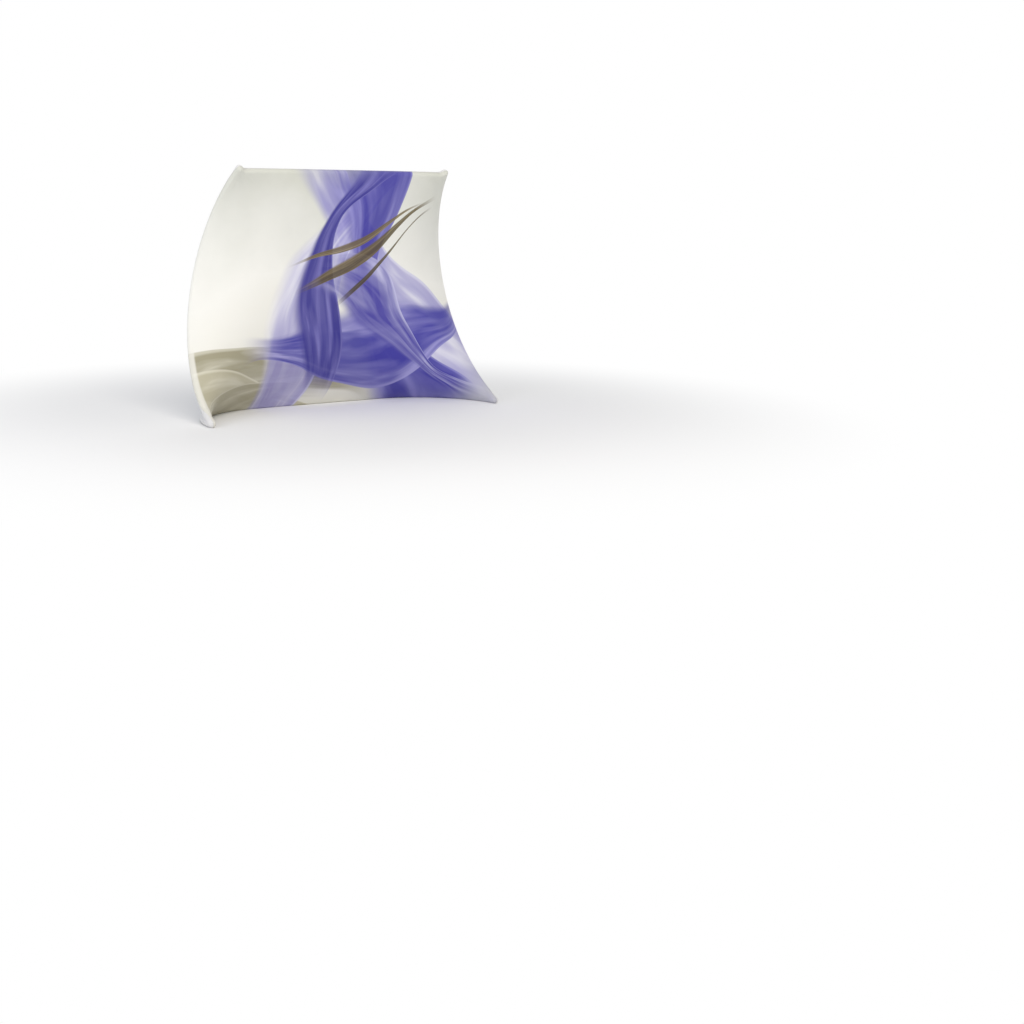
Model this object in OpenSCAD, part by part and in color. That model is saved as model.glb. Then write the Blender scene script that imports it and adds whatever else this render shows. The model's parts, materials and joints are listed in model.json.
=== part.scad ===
// Tabletop display: a knock-down aluminium tube frame inside a zipped cover of stretch fabric.
// X runs across the display, Y points away from the viewer and Z is up. The origin lies on the
// table, under the middle of the outline. Lengths are in millimetres and angles in degrees.

/* [Tubes] */
// Outer diameter of the frame tubes
tube_d = 28; // [27:0.5:29]
// Wall of the frame tubes
tube_wall = 1.5; // [1.2:0.1:1.8]
// Wall of the joining tubes inside them
plug_wall = 2; // [1.6:0.1:2.4]
// How deep a joining tube sits in each neighbour
plug_depth = 60; // [50:1:70]
// Radial clearance between a joining tube and the tube around it
plug_clear = 0.1; // [0.05:0.01:0.15]

/* [Base] */
// Straight rear stretch of the base
base_straight = 672; // [620:1:720]
// Centreline radius of the two base bends
base_bend_r = 440; // [420:1:460]
// Length of the middle base tube
base_mid_len = 500; // [440:1:540]

/* [Side bows] */
// Centreline radius of the side bows
side_r = 690; // [670:1:710]
// Rise of a side bow above the table where it leaves the toe
toe_rise = 28; // [26:0.5:30]
// Direction of a side bow where the top tube meets it
top_dir = 137.6; // [134:0.2:140]
// Lean of the two side bows towards each other
side_lean = 12.2; // [11:0.2:13.4]
// Turn of the side bows away from straight back
side_turn = 5; // [4:0.5:6]
// How far a side bow sticks out past the top tube
side_over = 18; // [16:1:32]
// Length of the welded stub at each toe, along the bow
stub_len = 110; // [102:1:120]
// Distance of the middle joint from the toe, along the bow
side_joint = 700; // [640:1:740]

/* [Snap buttons] */
// Diameter of a button
button_d = 7.9; // [7.4:0.1:8.2]
// Radial clearance of a button in its holes
button_clear = 0.1; // [0.08:0.01:0.15]
// Height of a button's top over the tube
button_out = 2; // [1.5:0.1:2.4]
// Distance of a button from the joint that it locks
button_from_joint = 30; // [26:1:34]
// Width of a button's leaf spring
spring_w = 7; // [5:0.5:8]
// Thickness of a button's leaf spring
spring_t = 0.8; // [0.6:0.1:0.9]

/* [Cover] */
// Thickness of the fabric
cloth_t = 0.8; // [0.7:0.1:1]
// Space between the tubes and the fabric at the corners of its facets
cloth_clear = 2.4; // [2.3:0.1:2.7]
// Depth to which the fabric is pressed flat on the table
cloth_press = 0.5; // [0.3:0.1:0.5]
// Width of the sewn seam between the two panels
seam_gap = 0.3; // [0.2:0.1:0.5]

/* [Zip] */
// Turn of the zip from the bow's outer side towards the back
zip_turn = 20; // [16:1:24]
// Half width of the slot in the cover, as an angle round the tube
zip_half = 23.5; // [23:0.5:25]
// Width of the slit between the two rows of teeth
zip_slit = 1.2; // [1.1:0.1:1.4]
// Width of a row of teeth
teeth_w = 1.8; // [1.6:0.1:2]
// Height of a row of teeth
teeth_h = 2.4; // [2:0.1:2.6]
// Length of the zip slider
slider_len = 12; // [10:1:14]
// Length of the pull tab from its pivot to its tip
pull_len = 22; // [18:1:26]
// Distance of the parked slider from the lower end of the zip
slider_park = 14; // [12:1:20]

/* [Hidden] */
$fn = 96;
big = 400;

tube_r = tube_d / 2;
bore_r = tube_r - tube_wall;
plug_r = bore_r - plug_clear;
plug_bore_r = plug_r - plug_wall;
cloth_in_r = tube_r + cloth_clear;
cloth_out_r = cloth_in_r + cloth_t;

// The base lies this high, and its rear stretch this far behind the origin
rest_h = cloth_out_r - cloth_press;
rear_y = base_bend_r / 2;
half_straight = base_straight / 2;

// Each side bow lies in one plane: back_dir is level in it, rise_dir climbs it, out_dir leaves it
toe = [half_straight + base_bend_r, -rear_y, rest_h];
back_dir = [sin(side_turn), cos(side_turn), 0];
rise_dir = [-sin(side_lean) * cos(side_turn), sin(side_lean) * sin(side_turn), cos(side_lean)];
out_dir = cross(back_dir, rise_dir);
bow_centre = toe + side_r * (cos(toe_rise) * rise_dir - sin(toe_rise) * back_dir);
end_dir = top_dir + bow_turn(side_over);
function bow_turn(length) = length * 180 / (PI * side_r);
function bow_dir(length) = toe_rise + bow_turn(length);
function bow_away(dir) = sin(dir) * back_dir - cos(dir) * rise_dir;
function bow_point(dir) = bow_centre + side_r * bow_away(dir);

// The mitre plane halves the angle between a base arm and its bow at the toe
mitre = asin((cos(toe_rise) * back_dir + sin(toe_rise) * rise_dir).z) / 2;

// The top tube runs level between the bows; square ends stop short of them
top_cross = bow_point(top_dir);
top_gap = tube_r + 4.5;
top_half = top_cross.x - top_gap;
bow_end = bow_point(end_dir);

// Where the joining tube of a toe starts, clear of the mitre
toe_plug_start = 64;
corner_button_depth = 25;

// Snap button: a flanged pin that a hairpin leaf spring pushes out through both tube walls
button_r = button_d / 2;
button_hole_r = button_r + button_clear;
button_top = tube_r + button_out;
dome_r = 8.5;
flange_r = button_r + 1.25;
flange_t = 1.2;
flange_top = plug_bore_r - 1.6;
spring_top = flange_top - flange_t;
spring_low = -plug_bore_r + 1.2;
spring_bend_r = (spring_top - spring_low) / 2;
spring_leg = 14;
spring_over = 4;

// Mid-surface of the fabric: a net of cells between base, bows and top tube
net_u = 15;
net_v = 11;
bend_share = 6 / net_u;
bend_grade = 1.15;
bow_grade = 1.3;
toe_flat = 0.75;
peak_len = 30;
relax_steps = 160;
wrap_steps = 3;
toe_fan = 4;
top_fan = 3;

// Rows of the fabric's edge between which the zip runs, counted in half cells from the toe
zip_row_low = 6;
zip_row_high = 20;
bow_sweep = end_dir - toe_rise;
zip_low = share_dir(zip_row_low / (2 * net_v));
zip_high = share_dir(zip_row_high / (2 * net_v));

// Zip section, with heights from the tube's centreline
tape_edge = 20;
teeth_low = tube_r + 2.4;
teeth_in = zip_slit / 2;
teeth_out = teeth_in + teeth_w;
stop_len = 4;
stop_over = 0.2;
patch_half = 34;
patch_len = 80;
patch_r = cloth_out_r + 0.3;
patch_t = 0.6;
zip_gap = 1;

// Slider section
plate_half = 4;
plate_t = 1.2;
plate_low = teeth_low + teeth_h + 0.4;
plate_top = plate_low + plate_t;
skirt_w = 1;
skirt_low = teeth_low + 1.3;
sole_half = teeth_out + 0.2;
sole_low = tube_r + 0.6;
sole_top = sole_low + 1.3;
post_half = teeth_in - 0.25;
lug_in = 1.7;
lug_t = 1;
lug_len = 3.4;
pivot_h = plate_top + 1.7;
pivot_r = 0.75;
eye_r = 1.6;
eye_clear = 0.07;
pull_w = 5;
pull_t = 1.2;
pull_hole_r = 1.2;
slider_dir = zip_low + bow_turn(slider_park);

function unit(v) = v / norm(v);

module ring(outer_r, inner_r) {
    difference() {
        circle(outer_r);
        circle(inner_r);
    }
}

// A tube along X between two places
module pipe(from_x, to_x, outer_r, inner_r) {
    translate([from_x, 0, 0])
        rotate([90, 0, 90])
            linear_extrude(to_x - from_x)
                ring(outer_r, inner_r);
}

// Places children in the plane of the right or left bow, with X back and Y up along it
module on_bow(side) {
    mirror([side == "left" ? 1 : 0, 0, 0])
        translate(bow_centre)
            rotate([90 - side_lean, 0, 90 - side_turn])
                children();
}

// Places children on a bow's centreline: X points back, Y along the bow and Z outwards
module at_bow(dir) {
    rotate([0, 0, dir - 90])
        translate([side_r, 0, 0])
            children();
}

// Sweeps a flat section along a bow, with the section's X pointing back and its Y outwards
module sweep_bow(from_dir, to_dir) {
    rotate([0, 0, from_dir - 90])
        rotate_extrude(angle = to_dir - from_dir, $fn = 360)
            translate([side_r, 0])
                children();
}

module on_base(side) {
    mirror([side == "left" ? 1 : 0, 0, 0])
        translate([0, rear_y, rest_h])
            children();
}

module on_top(side) {
    mirror([side == "left" ? 1 : 0, 0, 0])
        translate([0, top_cross.y, top_cross.z])
            children();
}

// The places of the snap buttons: Z points out through the button's holes and X along the tube
module at_base_button(side) {
    on_base(side)
        translate([base_mid_len / 2 + button_from_joint, 0, 0])
            children();
}

module at_bow_button(side, length) {
    on_bow(side)
        at_bow(bow_dir(length))
            rotate([0, 180 + zip_turn, 0])
                rotate([0, 0, 90])
                    children();
}

module at_toe_button(side) {
    at_bow_button(side, stub_len + button_from_joint)
        children();
}

module at_side_button(side) {
    at_bow_button(side, side_joint + button_from_joint)
        children();
}

module at_corner_button(side) {
    on_top(side)
        translate([top_half - corner_button_depth, 0, 0])
            rotate([90 + top_dir, 0, 0])
                children();
}

module at_top_button() {
    on_top("right")
        translate([button_from_joint, 0, 0])
            rotate([90 + top_dir, 0, 0])
                children();
}

module button_hole() {
    cylinder(h = tube_d, r = button_hole_r);
}

// Base: a straight middle tube and two bent end tubes, which the bows meet at the toes
module base_mid() {
    color("silver")
        on_base("right")
            pipe(-base_mid_len / 2, base_mid_len / 2, tube_r, bore_r);
}

module base_end(side) {
    color("silver")
        difference() {
            on_base(side)
                union() {
                    pipe(base_mid_len / 2, half_straight, tube_r, bore_r);
                    translate([half_straight, -base_bend_r, 0])
                        rotate_extrude(angle = 90, $fn = 240)
                            translate([base_bend_r, 0])
                                ring(tube_r, bore_r);
                }
            at_base_button(side)
                button_hole();
            mitre_block(side, 0);
        }
}

// Half space on one side of the mitre plane of a toe
module mitre_block(side, below) {
    mirror([side == "left" ? 1 : 0, 0, 0])
        translate(toe)
            rotate([mitre, 0, 0])
                translate([-big / 2, -big / 2, -big * below])
                    cube(big);
}

module base_plug(side) {
    color("gainsboro")
        difference() {
            on_base(side)
                pipe(base_mid_len / 2 - plug_depth, base_mid_len / 2 + plug_depth, plug_r, plug_bore_r);
            at_base_button(side)
                button_hole();
        }
}

// Toe: a rounded nose and a stub of bow, welded to the base along the mitre
module toe_cap(side) {
    color("silver")
        difference() {
            mirror([side == "left" ? 1 : 0, 0, 0])
                translate(toe)
                    sphere(tube_r);
            mirror([side == "left" ? 1 : 0, 0, 0])
                translate(toe + [-big / 2, 0, -big / 2])
                    cube(big);
            on_bow(side)
                at_bow(toe_rise)
                    translate([-big / 2, 0, -big / 2])
                        cube(big);
        }
}

module toe_stub(side) {
    color("silver")
        difference() {
            on_bow(side)
                sweep_bow(toe_rise, bow_dir(stub_len))
                    ring(tube_r, bore_r);
            mitre_block(side, 1);
        }
}

module toe_plug(side) {
    color("gainsboro")
        difference() {
            on_bow(side)
                sweep_bow(bow_dir(toe_plug_start), bow_dir(stub_len + plug_depth))
                    ring(plug_r, plug_bore_r);
            at_toe_button(side)
                button_hole();
        }
}

// Side bows: a lower and an upper tube, joined over a bent joining tube
module side_lower(side) {
    color("silver")
        difference() {
            on_bow(side)
                sweep_bow(bow_dir(stub_len), bow_dir(side_joint))
                    ring(tube_r, bore_r);
            at_toe_button(side)
                button_hole();
        }
}

module side_upper(side) {
    color("silver")
        difference() {
            on_bow(side)
                sweep_bow(bow_dir(side_joint), end_dir)
                    ring(tube_r, bore_r);
            at_side_button(side)
                button_hole();
        }
}

module side_plug(side) {
    color("gainsboro")
        difference() {
            on_bow(side)
                sweep_bow(bow_dir(side_joint - plug_depth), bow_dir(side_joint + plug_depth))
                    ring(plug_r, plug_bore_r);
            at_side_button(side)
                button_hole();
        }
}

// Domed plastic cap in the open end of a bow
module side_cap(side) {
    cap_h = 5;
    cap_r = (pow(tube_r, 2) + pow(cap_h, 2)) / (2 * cap_h);
    cap_plug = 14;
    color("dimgray")
        on_bow(side)
            at_bow(end_dir)
                rotate([-90, 0, 0])
                    union() {
                        intersection() {
                            translate([0, 0, cap_h - cap_r])
                                sphere(cap_r);
                            cylinder(h = cap_h * 2, r = tube_r);
                        }
                        translate([0, 0, -cap_plug])
                            cylinder(h = cap_plug, r = plug_r - plug_clear);
                    }
}

// Top: spigots welded to the bows, and two straight tubes that meet over a joining tube
module corner_plug(side) {
    color("gainsboro")
        difference() {
            on_top(side)
                pipe(top_half - plug_depth, top_cross.x, plug_r, plug_bore_r);
            on_bow(side)
                sweep_bow(top_dir - bow_turn(tube_d), end_dir)
                    circle(tube_r);
            at_corner_button(side)
                button_hole();
        }
}

module top_half_tube(side) {
    color("silver")
        difference() {
            on_top(side)
                pipe(0, top_half, tube_r, bore_r);
            at_corner_button(side)
                button_hole();
            at_top_button()
                button_hole();
        }
}

module top_plug() {
    color("gainsboro")
        difference() {
            on_top("right")
                pipe(-plug_depth, plug_depth, plug_r, plug_bore_r);
            at_top_button()
                button_hole();
        }
}

module button() {
    color("darkgray")
        union() {
            intersection() {
                cylinder(h = button_top, r = button_r);
                translate([0, 0, button_top - dome_r])
                    sphere(dome_r);
                translate([-dome_r, -dome_r, flange_top])
                    cube(2 * dome_r);
            }
            translate([0, 0, spring_top])
                cylinder(h = flange_t, r = flange_r);
        }
}

// Hairpin of flat spring steel that lies along the tube, under the button's flange
module spring() {
    bend_h = (spring_top + spring_low) / 2;
    rotate([90, 0, 0])
        linear_extrude(spring_w, center = true)
            union() {
                for (leg_h = [spring_top - spring_t, spring_low])
                    translate([-spring_leg, leg_h])
                        square([spring_leg + spring_over, spring_t]);
                intersection() {
                    translate([-spring_leg, bend_h])
                        ring(spring_bend_r, spring_bend_r - spring_t);
                    translate([-spring_leg - dome_r * 2, spring_low])
                        square([dome_r * 2, 2 * spring_bend_r]);
                }
            }
}

module button_springs() {
    color("slategray") {
        for (side = ["left", "right"]) {
            at_base_button(side)
                spring();
            at_toe_button(side)
                spring();
            at_side_button(side)
                spring();
            at_corner_button(side)
                spring();
        }
        at_top_button()
            spring();
    }
}

// The net's four edges, each as a point at a share of its length
function base_at(share) =
    share > 0.5 ? mirrored(base_at(1 - share)) :
    share > bend_share ?
        [-half_straight + base_straight * (share - bend_share) / (1 - 2 * bend_share), rear_y, rest_h] :
    let (turn = 90 * pow(share / bend_share, bend_grade))
        [-half_straight - base_bend_r * cos(turn), base_bend_r * sin(turn) - rear_y, rest_h];
function mirrored(p) = [-p.x, p.y, p.z];
function share_dir(share) = toe_rise + bow_sweep * pow(share, bow_grade);
function right_at(share) = bow_point(share_dir(share));
function left_at(share) = mirrored(right_at(share));
function top_at(share) =
    let (
        x = bow_end.x * (2 * share - 1),
        lift = pow(max(0, 1 - (bow_end.x - abs(x)) / peak_len), 2)
    )
        [x, top_cross.y + (bow_end.y - top_cross.y) * lift, top_cross.z + (bow_end.z - top_cross.z) * lift];
function edge_at(u, v) =
    v == 0 ? base_at(u) :
    v == 1 ? top_at(u) :
    u == 0 ? left_at(v) :
    right_at(v);

// Inside the edges the net starts as a blend of them and is then drawn taut. The crossing beside
// each toe stays in the plane of base and bow, because the fabric lies flat in so sharp a corner
function on_edge(i, j) = i == 0 || i == net_u || j == 0 || j == net_v;
function beside_toe(i, j) = j == 1 && (i == 1 || i == net_u - 1);
function blend(u, v) =
    let (
        w = [1 / v, 1 / (1 - v), 1 / u, 1 / (1 - u)],
        mixed = (w[0] * base_at(u) + w[1] * top_at(u) + w[2] * left_at(v) + w[3] * right_at(v))
            / (w[0] + w[1] + w[2] + w[3]),
        level = base_at(u) + (u < 0.5 ? left_at(v) - base_at(0) : right_at(v) - base_at(1))
    )
        beside_toe(round(u * net_u), round(v * net_v)) ?
            toe_flat * level + (1 - toe_flat) * mixed :
            mixed;
function tauten(net, steps) =
    steps == 0 ? net :
    tauten([
        for (j = [0 : net_v]) [
            for (i = [0 : net_u])
                on_edge(i, j) || beside_toe(i, j) ? net[j][i] :
                (net[j - 1][i] + net[j + 1][i] + net[j][i - 1] + net[j][i + 1]) / 4
        ]
    ], steps - 1);
net = tauten([
    for (j = [0 : net_v]) [
        for (i = [0 : net_u])
            on_edge(i, j) ? edge_at(i / net_u, j / net_v) : blend(i / net_u, j / net_v)
    ]
], relax_steps);
function net_normal(i, j) =
    unit(cross(
        net[j][min(i + 1, net_u)] - net[j][max(i - 1, 0)],
        net[min(j + 1, net_v)][i] - net[max(j - 1, 0)][i]
    ));

// Stations go round the edge in half cells: base to the right, up the right bow, top, left bow
right_from = 2 * net_u;
top_from = right_from + 2 * net_v;
left_from = top_from + 2 * net_u;
stations = left_from + 2 * net_v;
function station_cell(s) =
    s <= right_from ? [s / 2, 0] :
    s <= top_from ? [net_u, (s - right_from) / 2] :
    s <= left_from ? [net_u - (s - top_from) / 2, net_v] :
    [0, net_v - (s - left_from) / 2];
function station_at(s) =
    let (cell = station_cell((s + stations) % stations))
        edge_at(cell[0] / net_u, cell[1] / net_v);
function station_normal(s) =
    let (cell = station_cell(s))
        net_normal(floor(cell[0]), floor(cell[1])) + net_normal(ceil(cell[0]), ceil(cell[1]));
function corner_fan(s) =
    s == 0 || s == right_from ? toe_fan :
    s == top_from || s == left_from ? top_fan :
    0;

// An edge entry holds its station, point, normal, outward direction and the wrap of each panel
seam_turn = 90 - seam_gap / 2 / cloth_out_r * 180 / PI;
function plain_entry(s, tangent, normal) =
    let (
        flat_normal = unit(normal - tangent * (tangent * normal)),
        outward = cross(tangent, flat_normal),
        row = s - right_from
    )
        row < zip_row_low || row > zip_row_high ?
            [s, station_at(s), flat_normal, outward, seam_turn, seam_turn] :
        let (
            dir = share_dir(row / (2 * net_v)),
            zip_dir = cos(zip_turn) * out_dir + sin(zip_turn) * bow_away(dir),
            seam_at = atan2(zip_dir * outward, zip_dir * flat_normal)
        )
            [s, station_at(s), flat_normal, outward, seam_at - zip_half, 180 - seam_at - zip_half];
function fan_entry(s, normal, first, share, turn) =
    [s, station_at(s), normal, first * cos(turn * share) + cross(normal, first) * sin(turn * share),
        seam_turn, seam_turn];
entries = [
    for (s = [0 : stations - 1])
        let (
            before = unit(station_at(s) - station_at(s - 1)),
            after = unit(station_at(s + 1) - station_at(s)),
            fan = corner_fan(s),
            corner = fan > 0 ? unit(cross(before, after)) : [0, 0, 0],
            turn = acos(before * after)
        )
            for (k = [0 : fan])
                fan == 0 ? plain_entry(s, unit(before + after), station_normal(s)) :
                fan_entry(s, corner, cross(before, corner), k / fan, turn)
];
entry_count = len(entries);
station_entry = [
    for (k = [0 : entry_count - 1])
        if (k == 0 || entries[k][0] != entries[k - 1][0]) k
];

// One face of a panel: face is 1 for the front panel and -1 for the back one
inner_points = (net_u - 1) * (net_v - 1);
function wrap_point(entry, face, radius, step) =
    let (turn = (face > 0 ? entry[4] : entry[5]) * step / wrap_steps)
        entry[1] + radius * (face * cos(turn) * entry[2] + sin(turn) * entry[3]);
function skin_points(face, radius) = concat(
    [
        for (j = [1 : net_v - 1])
            for (i = [1 : net_u - 1])
                net[j][i] + face * radius * net_normal(i, j)
    ],
    [for (s = [0 : stations - 1]) wrap_point(entries[station_entry[s]], face, radius, 0)],
    [
        for (step = [1 : wrap_steps])
            for (entry = entries)
                wrap_point(entry, face, radius, step)
    ]
);
skin_size = inner_points + stations + wrap_steps * entry_count;

// Point numbers in a face: a net crossing, a station, and a place on the wrap
function station_id(s) = inner_points + (s + stations) % stations;
function cell_id(i, j) =
    j == 0 ? station_id(2 * i) :
    i == net_u ? station_id(right_from + 2 * j) :
    j == net_v ? station_id(top_from + 2 * (net_u - i)) :
    i == 0 ? station_id(left_from + 2 * (net_v - j)) :
    (j - 1) * (net_u - 1) + i - 1;
function wrap_id(step, k) =
    let (entry = (k + entry_count) % entry_count)
        step == 0 ? station_id(entries[entry][0]) :
        inner_points + stations + (step - 1) * entry_count + entry;

// A cell beside the edge also has the station in the middle of its edge
function cell_loop(i, j) = concat(
    [cell_id(i, j)],
    j == 0 ? [station_id(2 * i + 1)] : [],
    [cell_id(i + 1, j)],
    i == net_u - 1 ? [station_id(right_from + 2 * j + 1)] : [],
    [cell_id(i + 1, j + 1)],
    j == net_v - 1 ? [station_id(top_from + 2 * (net_u - i) - 1)] : [],
    [cell_id(i, j + 1)],
    i == 0 ? [station_id(left_from + 2 * (net_v - j) - 1)] : []
);
function fan_start(i, j) = j == 0 ? 1 : i == net_u - 1 ? 2 : j == net_v - 1 ? 3 : i == 0 ? 4 : 0;
function fan_faces(loop, start) = [
    for (k = [1 : len(loop) - 2])
        [loop[start], loop[(start + k) % len(loop)], loop[(start + k + 1) % len(loop)]]
];
skin_faces = concat(
    [
        for (j = [0 : net_v - 1])
            for (i = [0 : net_u - 1])
                each fan_faces(cell_loop(i, j), fan_start(i, j))
    ],
    [
        for (k = [0 : entry_count - 1])
            for (step = [0 : wrap_steps - 1])
                let (a = wrap_id(step, k), b = wrap_id(step, k + 1), c = wrap_id(step + 1, k + 1),
                    d = wrap_id(step + 1, k))
                    each a == b ? [[d, c, b]] : [[d, c, b], [d, b, a]]
    ]
);
rim_faces = [
    for (k = [0 : entry_count - 1])
        let (c = wrap_id(wrap_steps, k + 1), d = wrap_id(wrap_steps, k))
            each [[c, d, d + skin_size], [c, d + skin_size, c + skin_size]]
];
function turned(faces) = [for (f = faces) [f[2], f[1], f[0]]];
function shifted(faces) = [for (f = faces) [f[0] + skin_size, f[1] + skin_size, f[2] + skin_size]];
shell_faces = concat(skin_faces, turned(shifted(skin_faces)), rim_faces);
function on_table(points) = [for (p = points) [p.x, p.y, max(0, p.z)]];

module panel(face) {
    polyhedron(
        points = concat(on_table(skin_points(face, cloth_out_r)), skin_points(face, cloth_in_r)),
        faces = face > 0 ? turned(shell_faces) : shell_faces
    );
}

module cover_front() {
    color("lavender")
        panel(1);
}

module cover_back() {
    color("whitesmoke")
        panel(-1);
}

// Zip: tapes, teeth and stops swept along the right bow, turned from its outer side to the back
module zip_sweep(from_dir, to_dir) {
    on_bow("right")
        sweep_bow(from_dir, to_dir)
            rotate(-zip_turn)
                children();
}

// Tape section beside the back panel; the front one is its mirror image
module tape_section() {
    polygon([
        [cloth_in_r * sin(tape_edge), cloth_in_r * cos(tape_edge)],
        [cloth_out_r * sin(tape_edge), cloth_out_r * cos(tape_edge)],
        [teeth_out, teeth_low + cloth_t],
        [teeth_out, teeth_low]
    ]);
}

module zip_tape(front) {
    color("white")
        zip_sweep(zip_low, zip_high)
            mirror([front, 0])
                tape_section();
}

module zip_teeth(front) {
    color("gainsboro")
        zip_sweep(zip_low + bow_turn(stop_len), zip_high - bow_turn(stop_len))
            mirror([front, 0])
                translate([teeth_in, teeth_low])
                    square([teeth_w, teeth_h]);
}

module zip_stop(from_dir) {
    color("silver")
        zip_sweep(from_dir, from_dir + bow_turn(stop_len))
            translate([-teeth_out, teeth_low])
                square([2 * teeth_out, teeth_h + stop_over]);
}

// Fabric patch sewn over each end of the zip
module zip_patch(from_dir) {
    color("white")
        zip_sweep(from_dir, from_dir + bow_turn(patch_len))
            intersection() {
                ring(patch_r + patch_t, patch_r);
                polygon([
                    [0, 0],
                    [2 * tube_d * sin(patch_half), 2 * tube_d * cos(patch_half)],
                    [-2 * tube_d * sin(patch_half), 2 * tube_d * cos(patch_half)]
                ]);
            }
}

module at_slider() {
    on_bow("right")
        at_bow(slider_dir)
            rotate([0, zip_turn, 0])
                children();
}

// A block from its lowest X and Z to its highest, centred along the zip
module slider_block(from_x, to_x, from_z, to_z, length) {
    translate([from_x, -length / 2, from_z])
        cube([to_x - from_x, length, to_z - from_z]);
}

module zip_slider() {
    color("silver")
        at_slider()
            union() {
                slider_block(-plate_half, plate_half, plate_low, plate_top, slider_len);
                slider_block(-sole_half, sole_half, sole_low, sole_top, slider_len);
                slider_block(-post_half, post_half, sole_top, plate_low, slider_len / 2);
                for (x = [-plate_half, plate_half - skirt_w])
                    slider_block(x, x + skirt_w, skirt_low, plate_low, slider_len);
                for (x = [-lug_in - lug_t, lug_in])
                    slider_block(x, x + lug_t, plate_top, pivot_h + lug_t, lug_len);
                translate([-lug_in, 0, pivot_h])
                    rotate([0, 90, 0])
                        cylinder(h = 2 * lug_in, r = pivot_r);
            }
}

module zip_pull() {
    eye_half = lug_in - 0.2;
    color("silver")
        at_slider()
            translate([0, 0, pivot_h])
                difference() {
                    union() {
                        rotate([0, 90, 0])
                            cylinder(h = 2 * eye_half, r = eye_r, center = true);
                        translate([-eye_half, -lug_len, -pull_t / 2])
                            cube([2 * eye_half, lug_len, pull_t]);
                        translate([-pull_w / 2, pull_w / 2 - pull_len, -pull_t / 2])
                            cube([pull_w, pull_len - lug_len - pull_w / 2, pull_t]);
                        translate([0, pull_w / 2 - pull_len, -pull_t / 2])
                            cylinder(h = pull_t, r = pull_w / 2);
                    }
                    rotate([0, 90, 0])
                        cylinder(h = 4 * eye_half, r = pivot_r + eye_clear, center = true);
                    translate([0, pull_w / 2 - pull_len, -pull_t])
                        cylinder(h = 2 * pull_t, r = pull_hole_r);
                }
}

base_mid();
base_end("left");  // base_left
base_end("right");  // base_right
base_plug("left");  // base_plug_left
base_plug("right");  // base_plug_right
toe_cap("left");  // toe_cap_left
toe_cap("right");  // toe_cap_right
toe_stub("left");  // toe_stub_left
toe_stub("right");  // toe_stub_right
toe_plug("left");  // toe_plug_left
toe_plug("right");  // toe_plug_right
side_lower("left");  // side_lower_left
side_lower("right");  // side_lower_right
side_upper("left");  // side_upper_left
side_upper("right");  // side_upper_right
side_plug("left");  // side_plug_left
side_plug("right");  // side_plug_right
side_cap("left");  // side_cap_left
side_cap("right");  // side_cap_right
corner_plug("left");  // corner_plug_left
corner_plug("right");  // corner_plug_right
top_half_tube("left");  // top_left
top_half_tube("right");  // top_right
top_plug();
at_base_button("left") button();  // button_base_left
at_base_button("right") button();  // button_base_right
at_toe_button("left") button();  // button_toe_left
at_toe_button("right") button();  // button_toe_right
at_side_button("left") button();  // button_side_left
at_side_button("right") button();  // button_side_right
at_corner_button("left") button();  // button_corner_left
at_corner_button("right") button();  // button_corner_right
at_top_button() button();  // button_top
button_springs();
cover_front();
cover_back();
zip_tape(1);  // zip_tape_front
zip_tape(0);  // zip_tape_back
zip_teeth(1);  // zip_teeth_front
zip_teeth(0);  // zip_teeth_back
zip_stop(zip_low);  // zip_stop_lower
zip_stop(zip_high - bow_turn(stop_len));  // zip_stop_upper
zip_patch(zip_low - bow_turn(patch_len + zip_gap));  // zip_patch_lower
zip_patch(zip_high + bow_turn(zip_gap));  // zip_patch_upper
zip_slider();
zip_pull();
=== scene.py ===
import json
import math

import bpy
import numpy as np
from mathutils import Matrix, Vector


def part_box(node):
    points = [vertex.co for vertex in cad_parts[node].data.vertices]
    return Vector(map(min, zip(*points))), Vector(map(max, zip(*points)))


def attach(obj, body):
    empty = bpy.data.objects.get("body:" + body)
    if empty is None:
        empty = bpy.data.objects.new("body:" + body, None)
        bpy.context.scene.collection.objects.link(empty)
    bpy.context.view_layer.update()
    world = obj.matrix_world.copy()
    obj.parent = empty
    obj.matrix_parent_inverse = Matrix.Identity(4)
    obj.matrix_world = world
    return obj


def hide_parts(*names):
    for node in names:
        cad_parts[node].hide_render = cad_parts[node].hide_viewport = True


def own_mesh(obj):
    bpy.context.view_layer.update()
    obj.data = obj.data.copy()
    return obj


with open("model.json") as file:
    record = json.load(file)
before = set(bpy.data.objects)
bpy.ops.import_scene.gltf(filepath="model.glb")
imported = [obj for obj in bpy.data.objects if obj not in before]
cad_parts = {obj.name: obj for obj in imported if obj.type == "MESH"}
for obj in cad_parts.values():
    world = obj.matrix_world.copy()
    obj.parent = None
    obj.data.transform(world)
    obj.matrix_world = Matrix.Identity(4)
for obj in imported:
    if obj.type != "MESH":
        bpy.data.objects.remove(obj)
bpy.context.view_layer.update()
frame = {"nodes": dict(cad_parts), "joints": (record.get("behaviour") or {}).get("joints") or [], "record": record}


# The frame's sizes as in the CAD source, here in metres and degrees

TUBE_R = 0.014
CLOTH_IN, CLOTH_OUT = 0.01655, 0.0171  # the fabric's inner and outer face, from the tube's centreline
FOOT_THICK = 0.0005  # the fabric's thickness where it is pressed flat under the base
REST = 0.0167  # height of the base tubes' centreline
# The base: half its straight tube, its bends' radius, and how far it stands behind the middle
HALF_STRAIGHT, BEND_R, REAR = 0.336, 0.44, 0.22
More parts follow.
